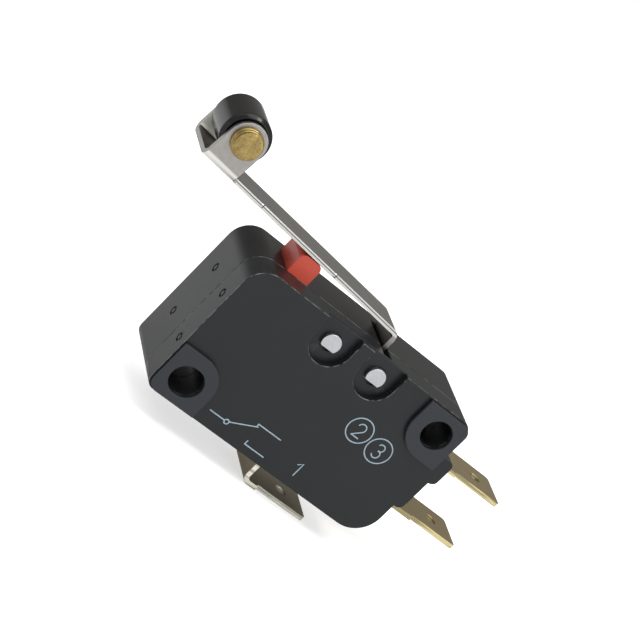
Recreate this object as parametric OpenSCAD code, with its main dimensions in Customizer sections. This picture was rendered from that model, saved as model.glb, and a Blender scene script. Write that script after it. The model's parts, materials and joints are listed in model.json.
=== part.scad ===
// Lever micro switch: snap-action switch in a flat two-part case, worked by a
// hinged lever with a roller at its free end.
// Millimetres. X runs along the case from the roller end to the two end blades,
// Y runs from the cover's front face to the back, and Z points up.
// The origin is the round mounting hole's axis on the cover's front boss.

/* [Case] */
// Length of the case without its end lobes
case_len = 27.5; // [26:0.1:31]
// Height of the case
case_h = 15.5; // [15:0.1:18]
// Depth over the mounting bosses
case_d = 10.3; // [10:0.1:13]
// Thickness of the outer walls
wall = 1.2; // [1:0.05:1.3]
// How far the front bosses stand proud of the cover
boss_raise = 0.5; // [0.2:0.05:0.7]
// Distance of the parting line behind the front bosses
part_line = 3.8; // [3.7:0.05:4]
// Corner radius over the plunger
corner_plunger = 2.4; // [1:0.1:3]
// Corner radius under the lower end blade
corner_blade = 2.9; // [1:0.1:3]
// Corner radius of the other two corners
corner_small = 1.0; // [0.5:0.1:1.2]

/* [Mounting holes] */
// Hole spacing along the case
hole_pitch_x = 22.2; // [21:0.1:24]
// Hole spacing up the case
hole_pitch_z = 10.3; // [10:0.1:11]
// Distance of the slotted hole from the left end
hole_edge_x = 2.7; // [2.6:0.05:3]
// Distance of the slotted hole from the bottom
hole_edge_z = 2.6; // [2.6:0.05:3]
// Diameter of both holes
hole_d = 3.1; // [2.8:0.05:3.3]
// Extra length of the slotted hole
hole_slot = 0.3; // [0.1:0.05:0.6]
// Radius of the boss round each hole
boss_r = 2.95; // [2.6:0.05:3.1]

/* [Plunger] */
// Width along the case
plunger_w = 2.5; // [2:0.1:3]
// Depth across the case
plunger_d = 4.2; // [3.6:0.1:4.4]
// Distance of its centre from the left end
plunger_x = 5.15; // [5:0.05:5.6]

/* [Lever] */
// Sheet thickness
lever_t = 0.5; // [0.4:0.05:0.55]
// Width of the strip
lever_w = 4.4; // [4:0.1:4.8]
// Slope of the free lever, in degrees
lever_slope = 4.8; // [3:0.1:6]
// Turn of the lever from free to fully pressed, in degrees
lever_travel = 7; // [4:0.5:8]
// Height of the strip's upper face above the pivot
lever_rise = 3.9; // [3.6:0.05:4.4]
// Distance from the pivot to the roller's axle, along the case
roller_reach = 25; // [20:0.1:28]
// Outer radius at the bend above the pivot
bend_r = 0.9; // [0.6:0.05:1.2]

/* [Roller] */
// Diameter of the roller
roller_d = 4.8; // [4:0.1:5.2]
// Width of the roller
roller_w = 5.0; // [3.6:0.1:5.2]
// How far its middle lies behind the strip's middle
roller_back = 0.2; // [0:0.05:0.4]
// Diameter of its axle
axle_d = 2.0; // [1.6:0.1:2.4]
// Diameter of the axle's turned heads
axle_head_d = 3.0; // [2.6:0.1:3.4]

/* [Pivot pins] */
// Diameter of the pins
pin_d = 2.0; // [1.6:0.1:2.2]
// Distance of both pins from the bottom
pin_z = 13.45; // [13.3:0.05:13.6]
// Distance of the lever's pin from the left end
pin_x = 16.5; // [16:0.05:17]
// Spacing of the two pins
pin_pitch = 5.75; // [5.4:0.05:6]
// Half width of the open recess round each pin
recess_r = 2.15; // [1.8:0.05:2.3]

/* [Blades] */
// Sheet thickness of the terminals
blade_t = 0.5; // [0.4:0.05:0.6]
// Width of the contact blades
blade_w = 4.75; // [4:0.05:5]
// Width of the roots inside the case
root_w = 5.6; // [5.2:0.1:5.8]
// Free length of the end blades, from the case without its lobes
blade_out = 9.85; // [8:0.05:11]
// Height of the upper end blade's middle
upper_blade_z = 10.1; // [9.9:0.05:10.2]
// Height of the lower end blade's middle
lower_blade_z = 3.95; // [3.8:0.05:4.4]
// Hole in each blade
blade_hole_d = 1.3; // [1:0.1:1.6]
// Distance of the common leg from the left end
common_x = 15.1; // [14.5:0.1:16]
// Drop of the common blade's middle below the case
common_drop = 2.8; // [2:0.1:3.4]
// Length of the common blade past its leg
common_len = 8.15; // [6:0.05:9]

/* [Snap mechanism] */
// Distance of the knife edge from the left end
knife_x = 8.8; // [8.7:0.05:9]
// Distance of the contacts from the left end
contact_x = 22.3; // [21.5:0.1:22.6]
// Diameter of the contact heads
contact_d = 2.2; // [1.8:0.1:2.4]
// Opening between the contacts
contact_gap = 0.7; // [0.4:0.05:0.8]
// Thickness of the contact arm
arm_t = 0.3; // [0.25:0.05:0.35]
// Width of the contact arm
arm_w = 3.8; // [3.6:0.1:4]
// Wire of both springs
wire_d = 0.26; // [0.2:0.02:0.3]

/* [Hidden] */
$fn = 48;

eps = 0.01;              // overshoot of cuts
fit = 0.05;              // running clearance each side
seat = 0.02;             // gap where a piece is only laid in
drive_gap = 0.03;        // free play between the lever and the plunger
slot_x = hole_edge_x;                    // slotted hole, lower left
slot_z = hole_edge_z;
round_x = hole_edge_x + hole_pitch_x;    // round hole, upper right
round_z = hole_edge_z + hole_pitch_z;
front = boss_raise;                      // cover's main front face
spare_x = pin_x - pin_pitch;
mid_y = (front + case_d) / 2 + 0.1;      // middle of the terminals
drive_y = part_line + 0.2 + plunger_d / 2;   // middle of plunger and lever

// Case outline: the right end has a low guard over both blades and a lobe
// round the upper one.
guard_out = 0.8;
guard_low = 4.75;
guard_high = 11.6;
lobe_out = 1.5;
lobe_low = 8.6;
lobe_r = 0.65;
boss_inset = 0.15;       // bosses stop short of the case edge
hole_wall = 0.75;        // wall left round the holes inside the case

// Recesses and pockets
recess_floor = front + 0.85;
pin_out = 0.5;           // pin ends stand this far off the recess floor
foot_pocket_front = recess_floor + 0.55;
foot_clear = 0.1;
foot_gap = (case_h - pin_z) * tan(lever_travel) + foot_clear;   // room for its turn
foot_side = 0.15;        // room beside the foot and before it
foot_open = 1.1;         // the forward clearance starts this far above the pin
eye_gap = 0.15;
pocket_wall = 0.9;       // wall left round the lever's pocket
post_wall = 0.8;         // wall left round the spare pin
pin_seat = 0.5;          // depth of the pins' blind seats
eye_r = pin_d / 2 + fit + lever_t;
pocket_half = eye_r + eye_gap + pocket_wall;

// Inner faces of the case
in_left = wall;
in_right = case_len - wall;
in_low = wall;
in_high = case_h - wall - 0.15;
in_back = case_d - wall;
in_front = recess_floor + 0.6;

// Ejector marks on the left end
mark_d = 0.9;
mark_ring = 0.2;         // width of the ring each one leaves
mark_depth = 0.12;
mark_y = [2.1, 7.1];
mark_share = [0.32, 0.69];               // heights as shares of the case

// Contact arm, hung half way between the fixed contacts; at rest it leans up
arm_len = contact_x - knife_x;
contact_head = 0.5;      // height of a contact's head
contact_dome = 3;        // radius of its domed face
upper_contact_face = upper_blade_z - blade_t / 2 - contact_head;
lower_contact_face = upper_contact_face - contact_gap - 2 * contact_head - arm_t;
knife_z = (upper_contact_face + lower_contact_face) / 2;
arm_lift = asin((contact_gap / 2) / arm_len);
shank_d = 1.0;           // shank of the contacts
hook_hole_d = 0.6;       // holes for the spring's hooks
spring_out_x = contact_x - 3.4;          // hole for the spring's far hook
window_w = 2.3;
window_down = 1.7;       // window in the knife post, below and above the edges
window_up = 1.4;
inner_w = 4.2;           // width of the strips inside the case
pad_in = 1.5;            // strips run this far past their contact
root_in = 0.8;           // broad roots start this far inside the walls
step_in = 1.6;           // inward place of the lower strip's step
floor_gap = 0.1;         // common strip above the floor of the case
rivet_out = 0.25;        // shanks stand this far through their strip
arm_end = 0.4;           // arm past its contact
hole_margin = 0.6;       // arm left before the spring's hole
blade_tip_r = 0.4;
blade_hole_in = 2.7;     // hole's distance from the blade's tip
common_root = 1.9;       // broad part of the common blade, from its leg
post_over = 1.9;         // knife post above the knife edge
notch = 0.4;             // side of the square knife notch
root_end = case_len + 3.8;               // step of the end blades

// Plunger
flange_h = 1.1;
flange_w = plunger_w + 1.6;
plunger_round = 0.7;
shoulder = plunger_w / 2 - plunger_round;    // where the strip bears on it
plunger_top = pin_z + (lever_rise - lever_t) / cos(lever_slope)
    + (pin_x - plunger_x - shoulder) * tan(lever_slope) - drive_gap;
plunger_low = knife_z;
hook_x = plunger_x + plunger_w / 2 + 0.15;   // where the tension spring hooks
hook_z = knife_z + 0.75;
web_t = 0.4;             // web that carries the hook
web_end = 0.45;
web_up = 0.8;
cup_gap = 0.1;           // room round the spring in the plunger's cup
cup_depth = 1.0;
shelf_t = 1.2;
shelf_out = 1.3;         // shelf past the plunger's middle
shelf_z = hole_edge_z + hole_d / 2 + hole_wall + 0.3;   // seat of the return spring
return_r = 0.85;                         // mean coil radius

// Lever
ear_gap = 0.2;           // between roller and ear
ear_r = 1.9;
roller_y = drive_y + roller_back;
ear_y0 = roller_y - roller_w / 2 - ear_gap;
ear_y1 = roller_y + roller_w / 2 + ear_gap;
axle_h = 3.05;           // axle above the strip's upper face
rim_r = 0.35;            // bevel of the roller's rims, across and along
rim_h = 0.25;
axle_ring = 0.3;         // height of each ring on the axle's near end
axle_rings = 3;
axle_head_h = 0.45;       // height of its far head
ear_bend = 1.0;          // outer radius of the bend under each ear
relief = 0.25;           // length of the nicks between the bends and the strip
neck_w = 3.8;            // width left between the nicks
crop_from = 9.2;         // crops of the carrier strip, from the pivot
crop_pitch = 10;
crop_len = 0.3;
crop_depth = 0.12;

// Lever's woven eye
strap_w = 1.4;           // width of its middle strap
eye_tail = 0.05;         // strip end below the eye
flat_in = 0.62;          // the pins' flats, below their axis
flat_len = 0.4;          // flat's length past the recess floor

// ---------- helpers ----------

// Plate in the XZ plane between two depths
module slab(y0, y1) {
    translate([0, y1, 0]) rotate([90, 0, 0]) linear_extrude(y1 - y0) children();
}

// Block between two corners
module block(a, b) {
    translate(a) cube([b[0] - a[0], b[1] - a[1], b[2] - a[2]]);
}

// Round bar along Y
module bar_y(x, z, d, y0, y1) {
    translate([x, y1, z]) rotate([90, 0, 0]) cylinder(d = d, h = y1 - y0);
}

// Material outside a rounded corner; sx and sz point into the shape
module corner_cut(x, z, sx, sz, r) {
    translate([x, z]) scale_sign(sx, sz) difference() {
        translate([-eps, -eps]) square(r + eps);
        translate([r, r]) circle(r);
    }
}

module scale_sign(sx, sz) {
    mirror([sx < 0 ? 1 : 0, 0]) mirror([0, sz < 0 ? 1 : 0]) children();
}

// Rectangle with one radius per corner: low left, low right, high right, high left
module rounded(x0, z0, x1, z1, r) {
    difference() {
        translate([x0, z0]) square([x1 - x0, z1 - z0]);
        if (r[0] > 0) corner_cut(x0, z0, 1, 1, r[0]);
        if (r[1] > 0) corner_cut(x1, z0, -1, 1, r[1]);
        if (r[2] > 0) corner_cut(x1, z1, -1, -1, r[2]);
        if (r[3] > 0) corner_cut(x0, z1, 1, -1, r[3]);
    }
}

// Everything is drawn from the case's lower left corner and moved to the origin here
module placed() {
    translate([-round_x, 0, -round_z]) children();
}

// ---------- case ----------

module case_outline() {
    rounded(0, 0, case_len, case_h,
            [corner_small, corner_blade, corner_small + 0.2, corner_plunger]);
    rounded(case_len - 1, guard_low, case_len + guard_out, guard_high,
            [0, lobe_r, lobe_r, 0]);
    rounded(case_len - 1, lobe_low, case_len + lobe_out, guard_high,
            [0, lobe_r, lobe_r, 0]);
}

// Boss outline: a disc round the hole that runs square into its corner
module boss_outline(x, z, s) {
    corner_x = s < 0 ? boss_inset : case_len - boss_inset;
    corner_z = s < 0 ? boss_inset : case_h - boss_inset;
    intersection() {
        union() {
            translate([x, z]) circle(boss_r);
            square_between(x, z - s * boss_r, corner_x, corner_z);
            square_between(x - s * boss_r, z, corner_x, corner_z);
        }
        rounded(boss_inset, boss_inset, case_len - boss_inset, case_h - boss_inset,
                [corner_small, 0, corner_small, 0]);
    }
}

module square_between(x0, z0, x1, z1) {
    translate([min(x0, x1), min(z0, z1)]) square([abs(x1 - x0), abs(z1 - z0)]);
}

// The two mounting holes, one of them a slot
module mounting_holes() {
    bar_y(round_x, round_z, hole_d, -1, case_d + 1);
    for (s = [-1, 1]) bar_y(slot_x + s * hole_slot / 2, slot_z, hole_d, -1, case_d + 1);
    block([slot_x - hole_slot / 2, -1, slot_z - hole_d / 2],
          [slot_x + hole_slot / 2, case_d + 1, slot_z + hole_d / 2]);
}

// Hollow of the case, with the posts round holes and pins left standing
module cavity(y0, y1) {
    difference() {
        slab(y0, y1) rounded(in_left, in_low, in_right, in_high,
                             [0.3, corner_blade - wall, 0.3, corner_plunger - wall]);
        bar_y(round_x, round_z, hole_d + 2 * hole_wall, y0 - 1, y1 + 1);
        bar_y(slot_x, slot_z, hole_d + 2 * hole_wall + hole_slot, y0 - 1, y1 + 1);
        // corner blocks behind the posts
        block([0, y0 - 1, 0], [slot_x, y1 + 1, slot_z + hole_d / 2 + hole_wall]);
        block([0, y0 - 1, 0], [slot_x + hole_d / 2 + hole_wall, y1 + 1, slot_z]);
        block([round_x, y0 - 1, round_z - hole_d / 2 - hole_wall], [case_len, y1 + 1, case_h]);
        block([round_x - hole_d / 2 - hole_wall, y0 - 1, round_z], [case_len, y1 + 1, case_h]);
        // shelf under the return spring
        block([0, y0 - 1, shelf_z - shelf_t], [plunger_x + shelf_out, y1 + 1, shelf_z]);
        // post that holds the spare pin, hung from the roof
        bar_y(spare_x, pin_z, pin_d + 2 * post_wall, y0 - 1, y1 + 1);
        block([spare_x - pin_d / 2 - post_wall, y0 - 1, pin_z],
              [spare_x + pin_d / 2 + post_wall, y1 + 1, case_h]);
        // walls either side of the lever's pocket
        block([pin_x - pocket_half, y0 - 1, pin_z - pocket_half],
              [pin_x + pocket_half, y1 + 1, case_h]);
    }
}

// Pocket in the roof for the lever's foot and eye
module foot_pocket() {
    y0 = drive_y - lever_w / 2 - foot_side;
    y1 = drive_y + lever_w / 2 + foot_side;
    bar_y(pin_x, pin_z, 2 * (eye_r + eye_gap), y0, y1);
    block([pin_x - foot_gap - lever_t / 2, y0, pin_z],
          [pin_x + lever_t / 2 + foot_side, y1, case_h + 1]);
    // clearance forward of the foot, open to the top
    block([pin_x - foot_gap - lever_t / 2, foot_pocket_front, pin_z + foot_open],
          [pin_x + lever_t / 2 + foot_side, y0 + eps, case_h + 1]);
}

// Slots that hold the roots of the terminals in the walls
module terminal_slots() {
    y0 = mid_y - root_w / 2 - seat;
    y1 = mid_y + root_w / 2 + seat;
    for (z = [upper_blade_z, lower_blade_z])
        block([in_right - 1, y0, z - blade_t / 2 - seat],
              [case_len + 3, y1, z + blade_t / 2 + seat]);
    block([common_x - seat, y0, -1], [common_x + blade_t + seat, y1, in_low + 1]);
}

// Way of the plunger through the roof
module plunger_slot() {
    block([plunger_x - plunger_w / 2 - fit, drive_y - plunger_d / 2 - fit, in_high - 1],
          [plunger_x + plunger_w / 2 + fit, drive_y + plunger_d / 2 + fit, case_h + 1]);
}

// Rings that the ejector pins leave on the left end
module end_marks(y0, y1) {
    for (y = mark_y, share = mark_share)
        if (y > y0 && y < y1)
            translate([-eps, y, share * case_h]) rotate([0, 90, 0]) difference() {
                cylinder(d = mark_d, h = mark_depth + eps);
                translate([0, 0, -1]) cylinder(d = mark_d - 2 * mark_ring, h = 2);
            }
}

module base() {
    color("#3b3d3f") placed() difference() {
        slab(part_line, case_d) case_outline();
        cavity(part_line - 1, in_back);
        mounting_holes();
        foot_pocket();
        terminal_slots();
        plunger_slot();
        end_marks(part_line, case_d);
        // blind seats of the pins
        for (x = [pin_x, spare_x]) bar_y(x, pin_z, pin_d, part_line - 1, in_back + pin_seat);
    }
}

module cover() {
    color("#3a3c3f") placed() difference() {
        union() {
            slab(front, part_line) case_outline();
            slab(0, front + eps) boss_outline(slot_x, slot_z, -1);
            slab(0, front + eps) boss_outline(round_x, round_z, 1);
        }
        cavity(in_front, part_line + 1);
        mounting_holes();
        foot_pocket();
        terminal_slots();
        end_marks(front, part_line);
        // round-bottomed recess down from the top edge at each pin
        for (x = [pin_x, spare_x]) {
            bar_y(x, pin_z, 2 * recess_r, -1, recess_floor);
            block([x - recess_r, -1, pin_z], [x + recess_r, recess_floor, case_h + 1]);
            bar_y(x, pin_z, pin_d, -1, case_d);
        }
    }
}

// ---------- plunger ----------

// Upright block with its upper edges rounded, a flange, a hooked web and a spring cup
module plunger() {
    y0 = drive_y - plunger_d / 2;
    y1 = drive_y + plunger_d / 2;
    color("#cc4f41") placed() difference() {
        union() {
            slab(y0, y1) rounded(plunger_x - plunger_w / 2, plunger_low, plunger_x + plunger_w / 2,
                                 plunger_top, [0, 0, plunger_round, plunger_round]);
            // flange that stops it under the roof
            block([plunger_x - flange_w / 2, y0, in_high - seat - flange_h],
                  [plunger_x + flange_w / 2, y1, in_high - seat]);
            // web that takes the tension spring's hook
            block([plunger_x, drive_y - web_t / 2, plunger_low],
                  [hook_x + web_end, drive_y + web_t / 2, hook_z + web_up]);
        }
        bar_y(hook_x, hook_z, hook_hole_d, y0, y1);
        // cup over the return spring
        translate([plunger_x, drive_y, plunger_low - eps])
            cylinder(r = return_r + wire_d / 2 + cup_gap, h = cup_depth + eps);
    }
}

// ---------- terminals ----------

// Free end of a blade with rounded corners and a hole, pointing along +X
module blade_end(x0, x1, z) {
    translate([0, 0, z - blade_t / 2]) linear_extrude(blade_t) difference() {
        rounded(x0, mid_y - blade_w / 2, x1, mid_y + blade_w / 2,
                [0, blade_tip_r, blade_tip_r, 0]);
        translate([x1 - blade_hole_in, mid_y]) circle(d = blade_hole_d);
    }
}

// Root of an end blade through the wall, up to the contact
module blade_root(x0, x1, z) {
    block([x0, mid_y - root_w / 2, z - blade_t / 2], [x1, mid_y + root_w / 2, z + blade_t / 2]);
}

module upper_terminal() {
    z = upper_blade_z;
    color("#c8b88a") placed() difference() {
        union() {
            blade_end(root_end - 1, case_len + blade_out, z);
            blade_root(in_right - root_in, root_end, z);
            block([contact_x - pad_in, drive_y - inner_w / 2, z - blade_t / 2],
                  [in_right, drive_y + inner_w / 2, z + blade_t / 2]);
        }
        translate([contact_x, drive_y, z - 1]) cylinder(d = shank_d, h = 2);
    }
}

// Lower end blade, stepped up inside the case to carry its contact
module lower_terminal() {
    z = lower_blade_z;
    top = lower_contact_face - contact_head;
    step_x = in_right - step_in;
    color("#c8b88a") placed() difference() {
        union() {
            blade_end(root_end - 1, case_len + blade_out, z);
            blade_root(in_right - root_in, root_end, z);
            block([step_x, drive_y - inner_w / 2, z - blade_t / 2],
                  [in_right, drive_y + inner_w / 2, z + blade_t / 2]);
            block([step_x - blade_t, drive_y - inner_w / 2, z - blade_t / 2],
                  [step_x, drive_y + inner_w / 2, top]);
            block([contact_x - pad_in, drive_y - inner_w / 2, top - blade_t],
                  [step_x, drive_y + inner_w / 2, top]);
        }
        translate([contact_x, drive_y, top - 1]) cylinder(d = shank_d, h = 2);
    }
}

// Common terminal: blade, leg through the floor, strip to the left, and knife post
module common_terminal() {
    z = -common_drop;
    bend_z = z - blade_t / 2 + bend_r;       // centre of the bend under the leg
    post_y0 = drive_y - arm_w / 2;
    post_y1 = drive_y + arm_w / 2;
    floor_z = in_low + floor_gap;
    post_x = knife_x - blade_t;
    color("#d6cbb0") placed() difference() {
        union() {
            blade_end(common_x + 1, common_x + common_len, z);
            blade_root(common_x + bend_r, common_x + common_root, z);
            slab(mid_y - root_w / 2, mid_y + root_w / 2) translate([common_x + bend_r, bend_z])
                intersection() {
                    difference() {
                        circle(bend_r);
                        circle(bend_r - blade_t);
                    }
                    translate([-bend_r, -bend_r]) square(bend_r);
                }
            block([common_x, mid_y - root_w / 2, bend_z],
                  [common_x + blade_t, mid_y + root_w / 2, floor_z + blade_t]);
            block([post_x, post_y0, floor_z], [common_x + blade_t, post_y1, floor_z + blade_t]);
            block([post_x, post_y0, floor_z], [post_x + blade_t, post_y1, knife_z + post_over]);
        }
        // window for the spring, open between the two knife edges
        block([post_x - 1, drive_y - window_w / 2, knife_z - window_down],
              [post_x + 1, drive_y + window_w / 2, knife_z + window_up]);
        // knife notches
        translate([knife_x, post_y0 - 1, knife_z]) rotate([0, 45, 0])
            translate([-notch / 2, 0, -notch / 2]) cube([notch, arm_w + 2, notch]);
    }
}

// Contact head with a domed face, its back at z = 0 and its face up
module contact_head_up(h) {
    intersection() {
        cylinder(d = contact_d, h = h);
        translate([0, 0, h - contact_dome]) sphere(contact_dome);
    }
}

// Fixed contact: head with its face at face_z looking down (s = -1) or up (s = 1),
// and a shank riveted through the strip behind it
module fixed_contact(face_z, s) {
    translate([contact_x, drive_y, face_z]) mirror([0, 0, s > 0 ? 0 : 1])
        translate([0, 0, -contact_head]) {
            contact_head_up(contact_head);
            translate([0, 0, -blade_t - rivet_out])
                cylinder(d = shank_d - 2 * seat, h = blade_t + rivet_out);
        }
}

module upper_contact() {
    color("#d9dadb") placed() fixed_contact(upper_contact_face, -1);
}

module lower_contact() {
    color("#d9dadb") placed() fixed_contact(lower_contact_face, 1);
}

// ---------- contact arm ----------

// Turns the arm about the knife edge into its rest position
module at_rest() {
    translate([knife_x, 0, knife_z]) rotate([0, -arm_lift, 0])
        translate([-knife_x, 0, -knife_z]) children();
}

// Fork whose two prongs stand in the knife notches
module contact_arm() {
    y0 = drive_y - arm_w / 2;
    y1 = drive_y + arm_w / 2;
    color("#c9a35c") placed() at_rest() difference() {
        block([knife_x + seat, y0, knife_z - arm_t / 2],
              [contact_x + contact_d / 2 + arm_end, y1, knife_z + arm_t / 2]);
        block([knife_x - 1, drive_y - window_w / 2, knife_z - 1],
              [spring_out_x - hole_margin, drive_y + window_w / 2, knife_z + 1]);
        translate([spring_out_x, drive_y, knife_z - 1]) cylinder(d = hook_hole_d, h = 2);
        translate([contact_x, drive_y, knife_z - 1]) cylinder(d = shank_d, h = 2);
    }
}

// Double-sided contact riveted through the arm
module moving_contact() {
    color("#d9dadb") placed() at_rest() translate([contact_x, drive_y, knife_z]) {
        for (s = [0, 1]) mirror([0, 0, s]) translate([0, 0, arm_t / 2])
            contact_head_up(contact_head - seat);
        translate([0, 0, -arm_t]) cylinder(d = shank_d - 2 * seat, h = 2 * arm_t);
    }
}

// ---------- springs ----------

// Wire swept along a list of points, with six sides
module wire(path, d) {
    n = len(path);
    sides = 6;
    ref = [0, 1, 0.37];
    dirs = [for (i = [0:n - 1]) let (a = path[max(i - 1, 0)], b = path[min(i + 1, n - 1)])
            (b - a) / norm(b - a)];
    rings = [for (i = [0:n - 1])
                let (u = cross(dirs[i], ref), un = u / norm(u), v = cross(dirs[i], un))
                for (k = [0:sides - 1])
                    path[i] + d / 2 * (cos(60 * k) * un + sin(60 * k) * v)];
    walls = [for (i = [0:n - 2], k = [0:sides - 1])
                let (a = i * sides + k, b = i * sides + (k + 1) % sides)
                each [[a, b, a + sides], [b, b + sides, a + sides]]];
    last = (n - 1) * sides;
    caps = [for (k = [1:sides - 2]) each [[0, k + 1, k], [last, last + k, last + k + 1]]];
    polyhedron(points = rings, faces = concat(walls, caps), convexity = 10);
}

// Compression spring between the shelf and the plunger
module return_spring() {
    low = shelf_z + wire_d / 2 + seat;
    high = plunger_low + cup_depth - wire_d / 2 - seat;
    turns = 7;
    steps = 14;
    color("#c4c6c8") placed() translate([plunger_x, drive_y, 0])
        wire([for (i = [0:turns * steps]) let (a = 360 * i / steps, t = i / (turns * steps))
              [return_r * cos(a), return_r * sin(a), low + (high - low) * t]], wire_d);
}

// Tension spring from the plunger's web to the far end of the arm
module tension_spring() {
    coil_r = 0.7;
    a = [hook_x, 0, hook_z];
    b = [spring_out_x - 0.45, 0, knife_z + (spring_out_x - knife_x) * tan(arm_lift)];
    start = knife_x + 1.6;
    stop = spring_out_x - 2.2;
    turns = 14;
    steps = 12;
    hook_r = 0.42;
    slope = (b[2] - a[2]) / (b[0] - a[0]);
    near = [for (t = [-150:30:150]) [a[0] + hook_r - hook_r * cos(t), hook_r * sin(t), a[2]]];
    coil = [for (i = [0:turns * steps])
            let (x = start + (stop - start) * i / (turns * steps), t = 360 * i / steps)
            [x, coil_r * sin(t), a[2] + slope * (x - a[0]) + coil_r * cos(t)]];
    far = [for (t = [-150:30:150]) [b[0] + hook_r * cos(t), 0, b[2] - hook_r * sin(t)]];
    color("#c4c6c8") placed() translate([0, drive_y, 0])
        wire(concat(near, coil, far), wire_d);
}

// ---------- pivot pins ----------

// Pin with a flat under it, through cover and base
module pivot_pins() {
    color("#d5d8dc") placed() for (x = [pin_x, spare_x]) difference() {
        bar_y(x, pin_z, pin_d - seat, recess_floor - pin_out, in_back + pin_seat - seat);
        block([x - pin_d, -1, pin_z - pin_d], [x + pin_d, recess_floor + flat_len, pin_z - flat_in]);
    }
}

// ---------- lever ----------

// Frame of the free lever: origin at the pivot, first axis back along the strip
module on_strip() {
    translate([pin_x, 0, pin_z]) rotate([0, lever_slope, 0]) children();
}

// Half of the eye's ring, to the right (s = 1) or to the left (s = -1) of the foot
module half_eye(s) {
    difference() {
        circle(eye_r);
        circle(pin_d / 2 + fit);
        translate([s > 0 ? -eye_r - lever_t / 2 : lever_t / 2, -eye_r]) square([eye_r, 2 * eye_r]);
    }
}

// Side view of the bent sheet from the eye up the foot and out along the strip
module lever_profile() {
    bend_x = lever_t / 2 - bend_r;
    bend_z = (lever_rise - bend_r - bend_x * sin(lever_slope)) / cos(lever_slope);
    bend_u = bend_x * cos(lever_slope) - bend_z * sin(lever_slope);
    foot_low = eye_r - lever_t + 0.05;
    strip_u = ear_r + relief - roller_reach;
    lap = 0.04;              // the bend runs this far into the flats, a hair inside them
    skim = 0.004;
    translate([-lever_t / 2, -eye_r - eye_tail]) square([lever_t, lever_t + eye_tail]);
    translate([-lever_t / 2, foot_low]) square([lever_t, bend_z - foot_low]);
    translate([bend_x, bend_z]) intersection() {
        difference() {
            circle(bend_r - skim);
            circle(bend_r - lever_t + skim);
        }
        translate([0, -lap]) square([bend_r, bend_r + lap]);
    }
    rotate(-lever_slope) translate([strip_u, lever_rise - lever_t])
        square([bend_u - strip_u, lever_t]);
}

// Foot slit into three straps that pass the pin on alternate sides
module lever_strip() {
    translate([pin_x, 0, pin_z]) {
        slab(drive_y - lever_w / 2, drive_y - strap_w / 2) half_eye(1);
        slab(drive_y - strap_w / 2, drive_y + strap_w / 2) half_eye(-1);
        slab(drive_y + strap_w / 2, drive_y + lever_w / 2) half_eye(1);
        slab(drive_y - lever_w / 2, drive_y + lever_w / 2) lever_profile();
    }
}

// Channel that carries the roller: a floor and two ears folded up from it
module roller_bracket() {
    low = lever_rise - lever_t;
    axle_z = lever_rise + axle_h;
    difference() {
        intersection() {
            translate([-roller_reach - ear_r, 0, 0]) rotate([90, 0, 90]) linear_extrude(2 * ear_r)
                difference() {
                    rounded(ear_y0 - lever_t, low, ear_y1 + lever_t, axle_z + ear_r + 1,
                            [ear_bend, ear_bend, 0, 0]);
                    rounded(ear_y0, lever_rise, ear_y1, axle_z + ear_r + 2,
                            [ear_bend - lever_t, ear_bend - lever_t, 0, 0]);
                }
            slab(ear_y0 - lever_t - 1, ear_y1 + lever_t + 1) {
                translate([-roller_reach, axle_z]) circle(ear_r);
                translate([-roller_reach - ear_r, low - 1]) square([2 * ear_r, axle_z - low + 1]);
            }
        }
        bar_y(-roller_reach, axle_z, axle_d + 2 * eps, ear_y0 - 1, ear_y1 + 1);
    }
}

// Small crops in the strip's near edge, where it was cut from its carrier
module carrier_crops() {
    for (u = [crop_from, crop_from + crop_pitch])
        block([-u - crop_len / 2, drive_y - lever_w / 2 - 1, lever_rise - lever_t - eps],
              [-u + crop_len / 2, drive_y - lever_w / 2 + crop_depth, lever_rise + eps]);
}

module roller_lever() {
    color("#b9b8b4") placed() {
        difference() {
            lever_strip();
            on_strip() carrier_crops();
        }
        on_strip() {
            roller_bracket();
            block([-roller_reach, drive_y - neck_w / 2, lever_rise - lever_t],
                  [ear_r + relief + 0.1 - roller_reach, drive_y + neck_w / 2, lever_rise]);
        }
    }
}

module on_axle() {
    placed() on_strip() translate([-roller_reach, 0, lever_rise + axle_h]) children();
}

module roller() {
    w = roller_w;
    bore = axle_d / 2 + fit;
    tread = roller_d / 2;
    color("#2b2b2d") on_axle() translate([0, roller_y, 0]) rotate([90, 0, 0]) rotate_extrude()
        polygon([[bore, -w / 2], [tread - rim_r, -w / 2], [tread, rim_h - w / 2],
                 [tread, w / 2 - rim_h], [tread - rim_r, w / 2], [bore, w / 2]]);
}

// Axle with a ringed end at the front and a flat riveted head at the back
module roller_axle() {
    near = ear_y0 - lever_t;
    far = ear_y1 + lever_t;
    groove = 0.2;
    color("#b9975a") on_axle() {
        bar_y(0, 0, axle_d, near - eps, far + eps);
        bar_y(0, 0, axle_head_d - groove, near - axle_rings * axle_ring, near);
        for (i = [1:axle_rings])
            bar_y(0, 0, axle_head_d, near - i * axle_ring, near - (i - 0.7) * axle_ring);
        bar_y(0, 0, axle_head_d, far, far + axle_head_h);
    }
}

base();
cover();
plunger();
return_spring();
common_terminal();
upper_terminal();
lower_terminal();
upper_contact();
lower_contact();
contact_arm();
moving_contact();
tension_spring();
pivot_pins();
roller_lever();
roller();
roller_axle();
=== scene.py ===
"""Lever micro switch: the finished pieces, their materials, the stage and the camera."""

import json
import math

import bmesh
import bpy
import numpy as np
from mathutils import Matrix, Quaternion, Vector

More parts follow.
